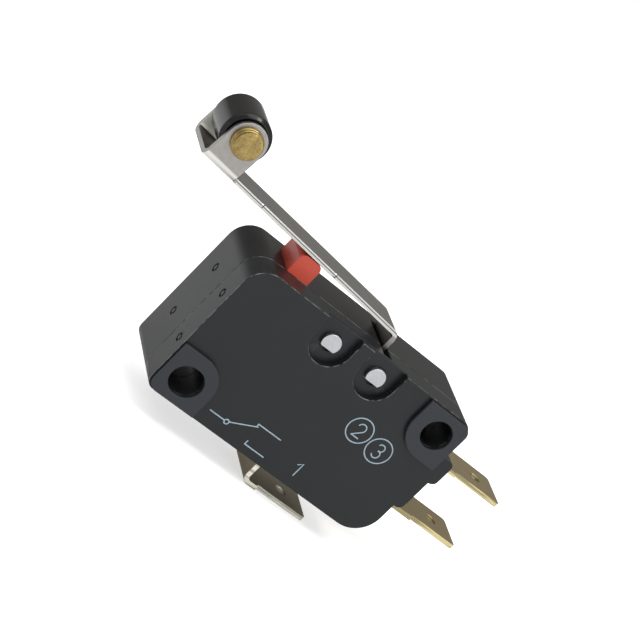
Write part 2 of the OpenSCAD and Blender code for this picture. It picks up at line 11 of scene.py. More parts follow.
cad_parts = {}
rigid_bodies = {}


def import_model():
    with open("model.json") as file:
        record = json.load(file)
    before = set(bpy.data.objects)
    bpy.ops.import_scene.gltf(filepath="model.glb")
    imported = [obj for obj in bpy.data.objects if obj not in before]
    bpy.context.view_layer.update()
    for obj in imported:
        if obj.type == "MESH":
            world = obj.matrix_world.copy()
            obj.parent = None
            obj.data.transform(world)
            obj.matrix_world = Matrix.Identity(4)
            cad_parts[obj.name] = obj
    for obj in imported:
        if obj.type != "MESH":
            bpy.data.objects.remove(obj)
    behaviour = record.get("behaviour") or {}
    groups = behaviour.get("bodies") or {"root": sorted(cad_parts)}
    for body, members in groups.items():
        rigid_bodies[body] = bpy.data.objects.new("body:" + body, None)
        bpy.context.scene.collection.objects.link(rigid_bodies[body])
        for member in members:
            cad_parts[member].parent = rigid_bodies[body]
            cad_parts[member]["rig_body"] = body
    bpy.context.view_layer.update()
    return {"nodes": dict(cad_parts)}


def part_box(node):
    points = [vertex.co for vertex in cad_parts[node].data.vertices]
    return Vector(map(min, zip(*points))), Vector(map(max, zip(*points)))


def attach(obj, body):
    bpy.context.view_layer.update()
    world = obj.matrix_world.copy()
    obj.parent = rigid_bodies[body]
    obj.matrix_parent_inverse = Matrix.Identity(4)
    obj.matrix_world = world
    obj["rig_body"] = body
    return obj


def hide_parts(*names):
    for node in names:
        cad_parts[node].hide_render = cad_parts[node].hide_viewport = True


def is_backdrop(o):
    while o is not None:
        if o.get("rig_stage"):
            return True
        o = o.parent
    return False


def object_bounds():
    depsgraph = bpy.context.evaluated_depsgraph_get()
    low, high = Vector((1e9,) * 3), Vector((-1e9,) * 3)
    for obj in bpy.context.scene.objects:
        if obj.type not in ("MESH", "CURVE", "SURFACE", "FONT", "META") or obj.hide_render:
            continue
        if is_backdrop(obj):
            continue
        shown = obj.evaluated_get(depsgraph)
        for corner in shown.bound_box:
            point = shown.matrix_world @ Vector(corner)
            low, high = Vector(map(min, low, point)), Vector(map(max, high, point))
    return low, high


for leftover in list(bpy.data.objects):
    bpy.data.objects.remove(leftover)

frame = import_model()

bl_info = {
    "name": "Lever micro switch",
    "version": (1, 0, 0),
    "blender": (4, 5, 0),
    "location": "View3D > Sidebar > Switch",
    "description": "Builds the finished pieces of a lever micro switch and its studio",
    "category": "Object",
}

MM = 1e-3


def linear(code):
    """The linear colour of an sRGB hex value: c / 12.92 below 0.04045, else
    ((c + 0.055) / 1.055) ** 2.4."""
    parts = np.array([int(code[i : i + 2], 16) for i in (1, 3, 5)]) / 255
    curved = ((parts + 0.055) / 1.055) ** 2.4
    return tuple(np.where(parts <= 0.04045, parts / 12.92, curved))


# ---------------------------------------------------------------- sizes and colours


def length(name, description, size):
    """A size in the panel, given in millimetres."""
    return bpy.props.FloatProperty(
        name=name, description=description, default=size * MM, unit="LENGTH", subtype="DISTANCE"
    )


def colour(name, description, code):
    """A colour in the panel, given as an sRGB hex value."""
    return bpy.props.FloatVectorProperty(
        name=name, description=description, default=linear(code), subtype="COLOR"
    )


class SwitchSizes(bpy.types.PropertyGroup):
    """Sizes of what is added to the bare pieces"""

    moulded_edge: length("Moulded edge", "Radius on the outer edges of the housing", 0.09)
    sheet_edge: length(
        "Sheet edge", "Radius that tumbling leaves on the stamped sheet parts", 0.05
    )
    plunger_edge: length("Plunger edge", "Radius on the plunger's edges", 0.08)
    pin_edge: length("Pin edge", "Radius on the ends of the pins", 0.07)
    small_edge: length("Small edge", "Radius on the contacts and the contact arm", 0.03)
    rim_radius: length(
        "Roller rim", "How far the roller's coned rims reach in from its tread", 0.35
    )
    dish_depth: length("Roller dish", "Depth of the shallow dish in the roller's end faces", 0.06)
    ring_groove: length(
        "Ring groove", "Depth of the grooves between the rings on the axle's near end", 0.16
    )
    ink_line: length("Ink line", "Width of the printed lines on the cover", 0.13)
    ink_height: length("Ink height", "Thickness of the printed ink", 0.012)


class SwitchColours(bpy.types.PropertyGroup):
    """Colours of the materials"""

    housing: colour("Housing", "Colour of the moulded case", "#131517")
    plunger: colour("Plunger", "Colour of the moulded plunger", "#c84e3b")
    roller: colour("Roller", "Colour of the roller", "#0b0b0c")
    steel: colour("Stainless sheet", "Reflected colour of the lever's sheet", "#9b9894")
    # lever cut edges: sheared steel with a painted highlight; also the base of the painted bend
    # highlight and dark line
    cut_edge_steel_and_highlight: colour("Sheared steel", "Reflected colour of the lever's cut edges", "#c3c2be")
    brass: colour("Turned brass", "Reflected colour of the roller's axle", "#a58f5b")
    plating: colour(
        "Blade plating", "Reflected colour of the plated faces of the blades", "#bfaf84"
    )
    sheared: colour("Sheared brass", "Reflected colour of the bare edges of the blades", "#c9bb8c")
    tinned: colour(
        "Tinned edge", "Reflected colour of the tinned edges of the common terminal", "#e6e1d3"
    )
    tinned_face: colour(
        "Tinned face", "Reflected colour of the tin on the common terminal's faces", "#9e947b"
    )
    bronze: colour("Spring bronze", "Reflected colour of the contact arm", "#d09a62")
    silver: colour("Contact silver", "Reflected colour of the contacts", "#ebe9e4")
    wire: colour("Spring wire", "Reflected colour of both springs", "#b9b8b4")
    pins: colour("Pins", "Reflected colour of the pivot pins", "#b6b7ba")
    ink: colour("Ink", "Colour of the printed lines", "#9db2bf")


# ---------------------------------------------------------------- meshes


def build_mesh(name, points, faces, finish):
    """A mesh object from points and lists of faces. If the signed volume, the sum over the
    faces of a . (b x c) / 6, is below nought, every face is turned round to face outwards."""
    points = np.asarray(points, float).reshape(-1, 3)
    volume = 0.0
    for group in faces:
        corners = points[group]
        for k in range(1, group.shape[1] - 1):
            cross = np.cross(corners[:, k], corners[:, k + 1])
            volume += np.einsum("ij,ij->", corners[:, 0], cross)
    if volume < 0:
        faces = [group[:, ::-1] for group in faces]
    mesh = bpy.data.meshes.new(name)
    mesh.from_pydata(points, [], [face for group in faces for face in group.tolist()])
    mesh.validate()
    mesh.polygons.foreach_set("use_smooth", np.ones(len(mesh.polygons), bool))
    mesh.materials.append(finish)
    piece = bpy.data.objects.new(name, mesh)
    bpy.context.scene.collection.objects.link(piece)
    return piece


def grid_faces(rows, columns, first=0):
    """Quads of a grid whose points run row by row and whose columns close on themselves."""
    i, j = np.meshgrid(np.arange(rows - 1), np.arange(columns), indexing="ij")
    near, far = i * columns + j, i * columns + (j + 1) % columns
    return np.stack([near, far, far + columns, near + columns], -1).reshape(-1, 4) + first


def turned(profile, centre, steps=96):
    """A profile of (place along Y, radius) turned about the Y axis through the centre: the
    point at u, v is centre + (r(u) cos v, y(u), r(u) sin v). A profile that starts and ends
    on the axis is closed by a pole at each end; any other is a ring closed on itself."""
    along, radius = np.asarray(profile, float).T
    angle = np.linspace(0, 2 * np.pi, steps, endpoint=False)
    poles = radius[0] == 0
    body = slice(1, -1) if poles else slice(None)
    y, r = along[body, None], radius[body, None]
    points = np.stack([r * np.cos(angle), y + 0 * angle, r * np.sin(angle)], -1)
    rows = len(points)
    points = points.reshape(-1, 3)
    faces = [grid_faces(rows, steps)]
    ring = np.arange(steps)
    after, last = (ring + 1) % steps, (rows - 1) * steps
    if poles:
        ends = [[0, along[0], 0], [0, along[-1], 0]]
        first_pole = np.full(steps, rows * steps)
        faces.append(np.stack([after, ring, first_pole], -1))
        faces.append(np.stack([ring + last, after + last, first_pole + 1], -1))
        points = np.concatenate([points, ends])
    else:
        faces.append(np.stack([ring + last, after + last, after, ring], -1))
    return points + np.asarray(centre, float), faces


def fillet(start, corner, end, steps=6):
    """Points of a quadratic arc from start to end that leaves and arrives towards the
    corner: (1 - t)^2 start + 2 t (1 - t) corner + t^2 end."""
    t = np.linspace(0, 1, steps)[:, None]
    start, corner, end = (np.asarray(p, float) for p in (start, corner, end))
    return (1 - t) ** 2 * start + 2 * t * (1 - t) * corner + t**2 * end


def printed_line(path, width, height, face_y):
    """A flat printed line: an ellipse, width by height, carried along a path of (x, z) on
    the plane y = face_y. Round ends are made by rings that shrink as cos(a) while they
    move out by sin(a) half widths, and a pole just past them closes each end."""
    beyond = 0.02 * width
    sides = 8
    path = np.asarray(path, float)
    step = np.gradient(path, axis=0)
    step /= np.linalg.norm(step, axis=1, keepdims=True)
    turn = np.radians([75, 50, 25])
    out = np.sin(turn)[:, None] * width / 2
    path = np.concatenate([path[:1] - step[:1] * out, path, path[-1:] + step[-1:] * out[::-1]])
    size = np.concatenate([np.cos(turn), np.ones(len(step)), np.cos(turn)[::-1]])
    step = np.concatenate([step[:1].repeat(3, 0), step, step[-1:].repeat(3, 0)])
    side = np.stack([-step[:, 1], step[:, 0]], -1)
    around = np.linspace(0, 2 * np.pi, sides, endpoint=False)
    across = size[:, None] * np.cos(around) * width / 2
    x = path[:, :1] + side[:, :1] * across
    z = path[:, 1:] + side[:, 1:] * across
    y = face_y + size[:, None] * np.sin(around) * height
    rings = np.stack([x, y, z], -1).reshape(-1, 3)
    tips = [path[0] - step[0] * beyond, path[-1] + step[-1] * beyond]
    poles = [[x0, face_y, z0] for x0, z0 in tips]
    count, ring = len(path), np.arange(sides)
    after, last = (ring + 1) % sides, (count - 1) * sides
    pole = np.full(sides, count * sides)
    faces = [
        grid_faces(count, sides),
        np.stack([after, ring, pole], -1),
        np.stack([ring + last, after + last, pole + 1], -1),
    ]
    return np.concatenate([rings, poles]), faces


def join_parts(parts):
    """One list of points and one list of faces from several pairs of them."""
    points, faces, first = [], [], 0
    for part_points, part_faces in parts:
        points.append(part_points)
        faces += [group + first for group in part_faces]
        first += len(part_points)
    return np.concatenate(points), faces


def body_name(node):
    """The body that a CAD node rides on."""
    return frame["nodes"][node]["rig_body"]


def stand_in(piece, slot, *nodes):
    """Puts a finished piece on the nodes' body, in their place."""
    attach(piece, body_name(nodes[0]))
    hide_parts(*nodes)
    return piece


def far_from(edge, other):
    """Least distance between the ends of either edge and the other one's line."""
    gaps = []
    for line, ends in ((edge, other), (other, edge)):
        a, b = (vert.co for vert in line.verts)
        for vert in ends.verts:
            share = (vert.co - a).dot(b - a) / (b - a).length_squared
            gaps.append((vert.co - a - (b - a) * min(max(share, 0), 1)).length)
    return min(gaps)


def room_beside(edge, corners):
    """How wide an arc fits along an edge: a little under half of the nearest edge that leads
    off to another corner, or most of one that leads nowhere sharp, taken square to the
    edge, and a little under half of the way to any corner across a face. Corners that run
    on in line with the edge don't count."""
    half, most = 0.45, 0.9
    in_line, least_square = 0.8, 0.2
    room = math.inf
    for face in edge.link_faces:
        for other in face.edges:
            if other in corners and not set(other.verts) & set(edge.verts):
                room = min(room, half * far_from(edge, other))
    along = (edge.verts[1].co - edge.verts[0].co).normalized()
    for end in edge.verts:
        for other in end.link_edges:
            tip = other.other_vert(end)
            straight = abs(along.dot((tip.co - end.co).normalized()))
            if other is edge or (other in corners and straight > in_line):
                continue
            shared = any(e in corners for e in tip.link_edges if e is not other)
            across = max(math.sqrt(max(0.0, 1 - straight**2)), least_square)
            room = min(room, (half if shared else most) * other.calc_length() * across)
    return room


def eased(node, radius, slot, finish, segments=2):
    """A copy of a CAD node with doubles merged and flat faces joined, whose outer edges are
    rounded by arcs of one radius, or of the radius that fits where that is not much
    smaller. The rounding is built into the mesh, the edges that still turn sharply are
    marked sharp, and normals are weighted by face area, so that the flats stay flat."""
    turn, crease = math.radians(30), math.radians(50)
    least_share = 0.25
    mesh = frame["nodes"][node].data.copy()
    shape = bmesh.new()
    shape.from_mesh(mesh)
    bmesh.ops.remove_doubles(shape, verts=shape.verts, dist=1e-7)
    bmesh.ops.dissolve_limit(shape, angle_limit=0.01, verts=shape.verts, edges=shape.edges)
    weight = shape.edges.layers.float.new("bevel_weight_edge")
    sharp = [edge for edge in shape.edges if edge.calc_face_angle(0) > turn]
    corners = {edge for edge in sharp if edge.is_convex}
    for edge in corners if radius else ():
        share = min(1.0, room_beside(edge, corners) / radius)
        edge[weight] = share if share > least_share else 0.0
    for face in shape.faces:
        face.smooth = True
    shape.to_mesh(mesh)
    shape.free()
    mesh.materials.clear()
    mesh.materials.append(finish)
    piece = bpy.data.objects.new(node + "_finished", mesh)
    bpy.context.scene.collection.objects.link(piece)
    if radius:
        bevel = piece.modifiers.new("edges", "BEVEL")
        bevel.width = radius
        bevel.segments = segments
        bevel.limit_method = "WEIGHT"
        bevel.use_clamp_overlap = False
        rounded = piece.evaluated_get(bpy.context.evaluated_depsgraph_get())
        piece.data = bpy.data.meshes.new_from_object(rounded)
        piece.modifiers.clear()
    shape = bmesh.new()
    shape.from_mesh(piece.data)
    for edge in shape.edges:
        edge.smooth = edge.calc_face_angle(0) < crease
    shape.to_mesh(piece.data)
    shape.free()
    flats = piece.modifiers.new("flats", "WEIGHTED_NORMAL")
    flats.keep_sharp = True
    return stand_in(piece, slot, node)


# ---------------------------------------------------------------- materials


def add_node(tree, kind, settings=(), links=()):
    """Adds a node, sets its inputs or properties, and links outputs to its inputs."""
    node = tree.nodes.new(kind)
    for key, value in dict(settings).items():
        if isinstance(key, int) or key in node.inputs:
            node.inputs[key].default_value = value
        else:
            setattr(node, key, value)
    for key, socket in dict(links).items():
        tree.links.new(socket, node.inputs[key])
    return node


def new_material(name, **constants):
    """A material, its node tree, its shader with constants set, and Object coordinates."""
    material = bpy.data.materials.new(name)
    material.use_nodes = True
    tree = material.node_tree
    shader = tree.nodes["Principled BSDF"]
    for key, value in constants.items():
        shader.inputs[key.replace("_", " ")].default_value = value
    coords = add_node(tree, "ShaderNodeTexCoord").outputs["Object"]
    return material, tree, shader, coords


def moulded_glass_filled_polyester(hue):
    # Housing: glass-filled polyester (PBT) moulded in a spark-eroded tool. The eye sees a
    # satin charcoal with fine grit, faint flow clouds, and duller bosses. The grit is
    # 0.05 mm in the tool, drawn at 0.13 mm so that it shows.
    material, tree, shader, coords = new_material(
        "moulded_glass_filled_polyester", IOR=1.55, Specular_IOR_Level=0.27
    )
    grit = add_node(
        tree, "ShaderNodeTexNoise", {"Scale": 1 / (0.13 * MM), "Detail": 3.0}, {"Vector": coords}
    )
    clouds = add_node(
        tree, "ShaderNodeTexNoise", {"Scale": 1 / (5 * MM), "Detail": 2.0}, {"Vector": coords}
    )
    mottle = add_node(
        tree,
        "ShaderNodeMath",
        {"operation": "MULTIPLY_ADD", 1: 0.5},
        {0: grit.outputs["Fac"], 2: clouds.outputs["Fac"]},
    )
    spread = add_node(
        tree,
        "ShaderNodeMapRange",
        {"From Min": 0.45, "From Max": 1.05},
        {"Value": mottle.outputs[0]},
    )
    shade = add_node(
        tree,
        "ShaderNodeMix",
        {"data_type": "RGBA", 6: (*(c * 0.84 for c in hue), 1), 7: (*(c * 1.16 for c in hue), 1)},
        {0: spread.outputs[0]},
    )
    place = add_node(tree, "ShaderNodeSeparateXYZ", {}, {0: coords})
    boss = add_node(
        tree,
        "ShaderNodeMapRange",
        {"From Min": 0.3 * MM, "From Max": 0.1 * MM, "To Min": 0.0, "To Max": 1.0},
        {"Value": place.outputs["Y"]},
    )
    duller = add_node(
        tree,
        "ShaderNodeMix",
        {"data_type": "RGBA", 7: (*(c * 3.3 for c in hue), 1)},
        {0: boss.outputs[0], 6: shade.outputs[2]},
    )
    # painted highlight: a lighter colour in thin bands of depth along the parting line and
    # round the front face's edge, broken into dashes by noise
    parting, arris = (3.8, 0.06), (0.57, 0.05)
    lines = [
        add_node(
            tree,
            "ShaderNodeMath",
            {"operation": "COMPARE", 1: depth * MM, 2: half * MM},
            {0: place.outputs["Y"]},
        )
        for depth, half in (parting, arris)
    ]
    either = add_node(
        tree,
        "ShaderNodeMath",
        {"operation": "MAXIMUM"},
        {0: lines[0].outputs[0], 1: lines[1].outputs[0]},
    )
    breaks = add_node(
        tree, "ShaderNodeTexNoise", {"Scale": 1 / (0.6 * MM), "Detail": 2.0}, {"Vector": coords}
    )
    gaps = add_node(
        tree,
        "ShaderNodeMapRange",
        {"From Min": 0.42, "From Max": 0.62},
        {"Value": breaks.outputs["Fac"]},
    )
    # painted highlight lines, dashed by the noise
    painted_highlight_lines = add_node(
        tree,
        "ShaderNodeMath",
        {"operation": "MULTIPLY"},
        {0: either.outputs[0], 1: gaps.outputs[0]},
    )
    # mixes the painted highlight lines into the housing colour
    with_painted_highlight_lines = add_node(
        tree,
        "ShaderNodeMix",
        {"data_type": "RGBA", 7: (*linear("#6a6c6e"), 1)},
        {0: painted_highlight_lines.outputs[0], 6: duller.outputs[2]},
    )
    sheen = add_node(
        tree,
        "ShaderNodeMath",
        {"operation": "MULTIPLY_ADD", 1: 0.12, 2: 0.31},
        {0: grit.outputs["Fac"]},
    )
    dull = add_node(
        tree,
        "ShaderNodeMath",
        {"operation": "MULTIPLY_ADD", 1: 0.2},
        {0: boss.outputs[0], 2: sheen.outputs[0]},
    )
    bump = add_node(
        tree,
        "ShaderNodeBump",
        {"Strength": 0.5, "Distance": 5e-6},
        {"Height": grit.outputs["Fac"]},
    )
    tree.links.new(with_painted_highlight_lines.outputs[2], shader.inputs["Base Color"])
    tree.links.new(dull.outputs[0], shader.inputs["Roughness"])
    tree.links.new(bump.outputs[0], shader.inputs["Normal"])
    return material


def worked_acetal(name, hue, grain, smoothest, level):
    # Acetal (POM): the plunger injection moulded in red, the roller turned from black rod.
    # The eye sees a waxy gloss with soft tool marks, drawn at 0.1 mm.
    material, tree, shader, coords = new_material(name, IOR=1.48, Specular_IOR_Level=level)
    stretch = add_node(tree, "ShaderNodeMapping", {"Scale": grain}, {"Vector": coords})
    marks = add_node(
        tree,
        "ShaderNodeTexNoise",
        {"Scale": 1 / (0.1 * MM), "Detail": 2.0},
        {"Vector": stretch.outputs[0]},
    )
    clouds = add_node(
        tree, "ShaderNodeTexNoise", {"Scale": 1 / (1.5 * MM), "Detail": 2.0}, {"Vector": coords}
    )
    shade = add_node(
        tree,
        "ShaderNodeMix",
        {"data_type": "RGBA", 6: (*(c * 0.86 for c in hue), 1), 7: (*(c * 1.12 for c in hue), 1)},
        {0: clouds.outputs["Fac"]},
    )
    sheen = add_node(
        tree,
        "ShaderNodeMath",
        {"operation": "MULTIPLY_ADD", 1: 0.16, 2: smoothest},
        {0: marks.outputs["Fac"]},
    )
    bump = add_node(
        tree,
        "ShaderNodeBump",
        {"Strength": 0.4, "Distance": 3e-6},
        {"Height": marks.outputs["Fac"]},
    )
    tree.links.new(shade.outputs[2], shader.inputs["Base Color"])
    tree.links.new(sheen.outputs[0], shader.inputs["Roughness"])
    tree.links.new(bump.outputs[0], shader.inputs["Normal"])
    return material


def worked_metal(name, hue, grain, size, rough, depth, stain=2.5 * MM, darkest=0.8):
    # Bare metal whose finish runs one way: rolled sheet, turned rod or drawn wire. The eye
    # sees a soft mirror broken into fine streaks. The streaks are a few micrometres wide in
    # the metal and drawn as wide as size says, so that they show.
    material, tree, shader, coords = new_material(name, Metallic=1.0)
    stretch = add_node(tree, "ShaderNodeMapping", {"Scale": grain}, {"Vector": coords})
    streaks = add_node(
        tree,
        "ShaderNodeTexNoise",
        {"Scale": 1 / size, "Detail": 3.0, "Roughness": 0.6},
        {"Vector": stretch.outputs[0]},
    )
    stains = add_node(
        tree, "ShaderNodeTexNoise", {"Scale": 1 / stain, "Detail": 3.0}, {"Vector": coords}
    )
    both = add_node(
        tree,
        "ShaderNodeMath",
        {"operation": "MULTIPLY"},
        {0: streaks.outputs["Fac"], 1: stains.outputs["Fac"]},
    )
    spread = add_node(
        tree, "ShaderNodeMapRange", {"From Min": 0.1, "From Max": 0.4}, {"Value": both.outputs[0]}
    )
    shade = add_node(
        tree,
        "ShaderNodeMix",
        {"data_type": "RGBA", 6: (*(c * darkest for c in hue), 1), 7: (*hue, 1)},
        {0: spread.outputs[0]},
    )
    sheen = add_node(
        tree,
        "ShaderNodeMath",
        {"operation": "MULTIPLY_ADD", 1: 0.14, 2: rough - 0.07},
        {0: streaks.outputs["Fac"]},
    )
    bump = add_node(
        tree,
        "ShaderNodeBump",
        {"Strength": 0.5, "Distance": depth},
        {"Height": streaks.outputs["Fac"]},
    )
    tree.links.new(shade.outputs[2], shader.inputs["Base Color"])
    tree.links.new(sheen.outputs[0], shader.inputs["Roughness"])
    tree.links.new(bump.outputs[0], shader.inputs["Normal"])
    return material


def plated_brass_strip(name, plating, sheared):
    # Brass strip, plated or tinned before it is stamped. The eye sees a dull pale plating
    # on the broad faces, rolled along the blade, and brighter metal with tears on the
    # sheared edges. Rolling lines drawn at 0.09 mm, tears at 0.22 mm.
    material, tree, shader, coords = new_material(name, Metallic=1.0)
    normal = add_node(tree, "ShaderNodeTexCoord").outputs["Normal"]
    facing = add_node(tree, "ShaderNodeSeparateXYZ", {}, {0: normal})
    sideways = add_node(
        tree, "ShaderNodeMath", {"operation": "ABSOLUTE"}, {0: facing.outputs["Y"]}
    )
    edge = add_node(
        tree,
        "ShaderNodeMapRange",
        {"From Min": 0.35, "From Max": 0.75},
        {"Value": sideways.outputs[0]},
    )
    stretch = add_node(
        tree, "ShaderNodeMapping", {"Scale": (0.04, 1.0, 0.6)}, {"Vector": coords}
    )
    rolling = add_node(
        tree,
        "ShaderNodeTexNoise",
        {"Scale": 1 / (0.09 * MM), "Detail": 3.0},
        {"Vector": stretch.outputs[0]},
    )
    stains = add_node(
        tree, "ShaderNodeTexNoise", {"Scale": 1 / (1.2 * MM), "Detail": 3.0}, {"Vector": coords}
    )
    faces = add_node(
        tree,
        "ShaderNodeMix",
        {"data_type": "RGBA", 6: (*(c * 0.78 for c in plating), 1), 7: (*plating, 1)},
        {0: stains.outputs["Fac"]},
    )
    along = add_node(tree, "ShaderNodeMapping", {"Scale": (0.05, 0.3, 1.0)}, {"Vector": coords})
    tears = add_node(
        tree,
        "ShaderNodeTexNoise",
        {"Scale": 1 / (0.22 * MM), "Detail": 1.0},
        {"Vector": along.outputs[0]},
    )
    torn = add_node(
        tree,
        "ShaderNodeMapRange",
        {"From Min": 0.42, "From Max": 0.56},
        {"Value": tears.outputs["Fac"]},
    )
    bare = add_node(
        tree,
        "ShaderNodeMix",
        {"data_type": "RGBA", 6: (*(c * 0.5 for c in sheared), 1), 7: (*sheared, 1)},
        {0: torn.outputs[0]},
    )
    shade = add_node(
        tree,
        "ShaderNodeMix",
        {"data_type": "RGBA"},
        {0: edge.outputs[0], 6: faces.outputs[2], 7: bare.outputs[2]},
    )
    sheen = add_node(
        tree,
        "ShaderNodeMath",
        {"operation": "MULTIPLY_ADD", 1: 0.2, 2: 0.28},
        {0: rolling.outputs["Fac"]},
    )
    bump = add_node(
        tree,
        "ShaderNodeBump",
        {"Strength": 0.5, "Distance": 2e-6},
        {"Height": rolling.outputs["Fac"]},
    )
    tree.links.new(shade.outputs[2], shader.inputs["Base Color"])
    tree.links.new(sheen.outputs[0], shader.inputs["Roughness"])
    tree.links.new(bump.outputs[0], shader.inputs["Normal"])
    return material


def pad_printing_ink(hue):
    # Pad-printed ink, laid a few micrometres thick on the moulded face: dull, a little
    # uneven, and thin enough in places to let the charcoal through. Patches drawn at 0.25 mm.
    material, tree, shader, coords = new_material("pad_printing_ink", IOR=1.5, Roughness=0.6)
    patches = add_node(
        tree, "ShaderNodeTexNoise", {"Scale": 1 / (0.25 * MM), "Detail": 2.0}, {"Vector": coords}
    )
    shade = add_node(
        tree,
        "ShaderNodeMix",
        {"data_type": "RGBA", 6: (*(c * 0.6 for c in hue), 1), 7: (*(c * 1.1 for c in hue), 1)},
        {0: patches.outputs["Fac"]},
    )
    tree.links.new(shade.outputs[2], shader.inputs["Base Color"])
    return material


# ---------------------------------------------------------------- pieces


class SWITCH_OT_housing(bpy.types.Operator):
    """Base and cover with moulded edges"""

    bl_idname = "switch.housing"
    bl_label = "Housing"

    def execute(self, context):
        sizes, colours = context.scene.switch_sizes, context.scene.switch_colours
        finish = moulded_glass_filled_polyester(colours.housing)
        eased("base", sizes.moulded_edge, "housing", finish)
        eased("cover", sizes.moulded_edge, "housing", finish)
        return {"FINISHED"}


class SWITCH_OT_print(bpy.types.Operator):
    """Plain contact diagram and terminal numbers printed on the cover"""

    bl_idname = "switch.print"
    bl_label = "Printed marks"

    def execute(self, context):
        sizes, colours = context.scene.switch_sizes, context.scene.switch_colours
        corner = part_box("base")[0]
        face = self.cover_face()
        tall = 1.5 * MM
        strokes = []

        def draw(lines, x, z, height):
            for line in lines:
                strokes.append(np.array(line) * height + (corner.x + x * MM, corner.z + z * MM))

        one = [[(0.1, 0.75), (0.38, 1.0), (0.38, 0.5), (0.38, 0.0)]]
        bow = self.arc(0.3, 0.7, 0.3, 165, -35)
        two = [np.concatenate([bow, [(0.02, 0.0)]]), [(0.02, 0.0), (0.3, 0.0), (0.6, 0.0)]]
        three = [
            self.arc(0.28, 0.74, 0.26, 150, -90),
            self.arc(0.28, 0.24, 0.28, 90, -150),
        ]
        draw(one, 16.9, 1.25, tall)
        draw(two, 18.6, 7.9, tall)
        draw(three, 21.6, 7.4, tall)
        for x, z in ((19.05, 8.65), (22.02, 8.15)):
            draw([self.arc(0, 0, 1.35, 0, 360, 40)], x, z, MM)
        # contact diagram: common line, pivot, arm, and the two contacts
        diagram = [
            [(0, 0.9), (0.9, 0.9), (1.75, 0.9)],
            self.arc(2.0, 0.9, 0.24, 0, 360, 20),
            [(2.22, 1.02), (3.4, 1.62), (4.7, 2.28)],
            [(4.55, 2.55), (6.0, 2.55), (7.3, 2.55)],
            [(4.95, 0.2), (6.0, 0.2), (7.3, 0.2)],
            [(4.95, 0.2), (4.95, 0.4), (4.95, 0.62)],
            [(4.55, 2.55), (4.55, 2.4), (4.55, 2.3)],
        ]
        draw(diagram, 6.6, 0.75, MM)
        parts = [printed_line(line, sizes.ink_line, sizes.ink_height, face) for line in strokes]
        points, faces = join_parts(parts)
        piece = build_mesh("printed_marks", points, faces, pad_printing_ink(colours.ink))
        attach(piece, "case")
        return {"FINISHED"}

    def cover_face(self):
        """Height of the cover's broad front face: the flat front level with most area."""
        mesh = frame["nodes"]["cover"].data
        area = np.zeros(len(mesh.polygons))
        normal = np.zeros(len(mesh.polygons) * 3)
        centre = np.zeros(len(mesh.polygons) * 3)
        mesh.polygons.foreach_get("area", area)
        mesh.polygons.foreach_get("normal", normal)
        mesh.polygons.foreach_get("center", centre)
        front = normal.reshape(-1, 3)[:, 1] < -0.99
        level = np.round(centre.reshape(-1, 3)[front, 1], 6)
        values, which = np.unique(level, return_inverse=True)
        return values[np.argmax(np.bincount(which, area[front]))]

    def arc(self, x, z, radius, start, end, steps=14):
        """Points on a circle about (x, z) between two angles in degrees."""
        angle = np.radians(np.linspace(start, end, steps))
        return np.stack([x + radius * np.cos(angle), z + radius * np.sin(angle)], -1)


class SWITCH_OT_plunger(bpy.types.Operator):
    """Red plunger with softly rounded edges"""

    bl_idname = "switch.plunger"
    bl_label = "Plunger"

    def execute(self, context):
        sizes, colours = context.scene.switch_sizes, context.scene.switch_colours
        finish = worked_acetal("moulded_red_acetal", colours.plunger, (1, 1, 0.4), 0.24, 0.36)
        eased("plunger", sizes.plunger_edge, "plunger_red", finish, segments=3)
        return {"FINISHED"}


